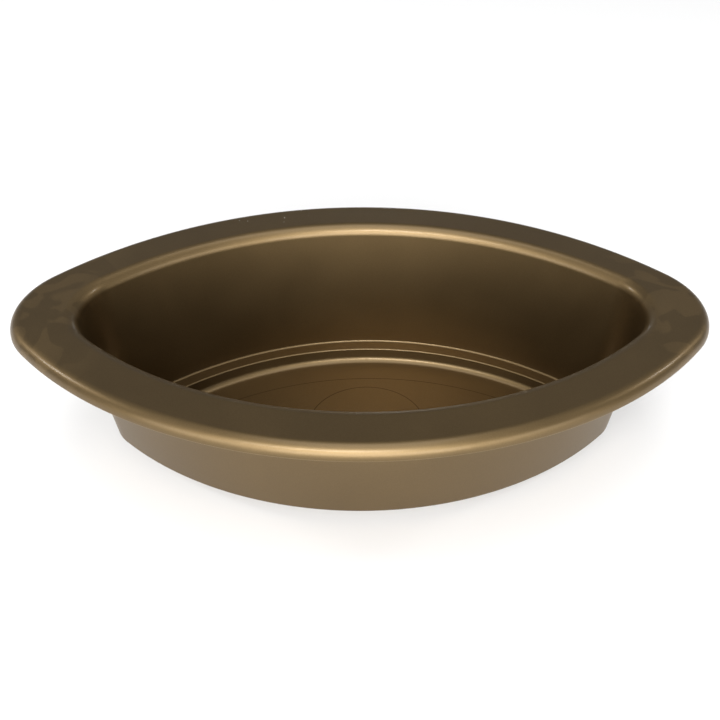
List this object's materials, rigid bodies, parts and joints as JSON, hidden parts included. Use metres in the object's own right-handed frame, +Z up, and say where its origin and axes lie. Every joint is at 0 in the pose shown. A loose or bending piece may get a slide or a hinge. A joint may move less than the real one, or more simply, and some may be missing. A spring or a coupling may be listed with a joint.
{
  "type": "gold pan",
  "caption": "Boat-shaped gold-coloured plastic pan with pointed ends, a broad rolled rim, drafted sides and a stepped flat floor, for washing or holding loose material.",
  "frame": {"origin": "centre of the flat underside of the foot, on the surface the pan stands on", "axes": "+X along the long axis from tip to tip, +Y across the pan, +Z up out of the mouth"},
  "size_m": [0.4, 0.2396, 0.0965],
  "materials": {
    "gold_plastic": "satin gold-bronze metallic pigment"
  },
  "bodies": {
    "root": {"rim_edge": "gold_plastic", "rim_deck": "gold_plastic", "rim_lip": "gold_plastic", "side_wall": "gold_plastic", "floor_ledge": "gold_plastic", "floor_riser": "gold_plastic", "floor_border": "gold_plastic", "floor_panel": "gold_plastic", "floor_disc": "gold_plastic", "gate_mark": "gold_plastic"}
  },
  "joints": []
}
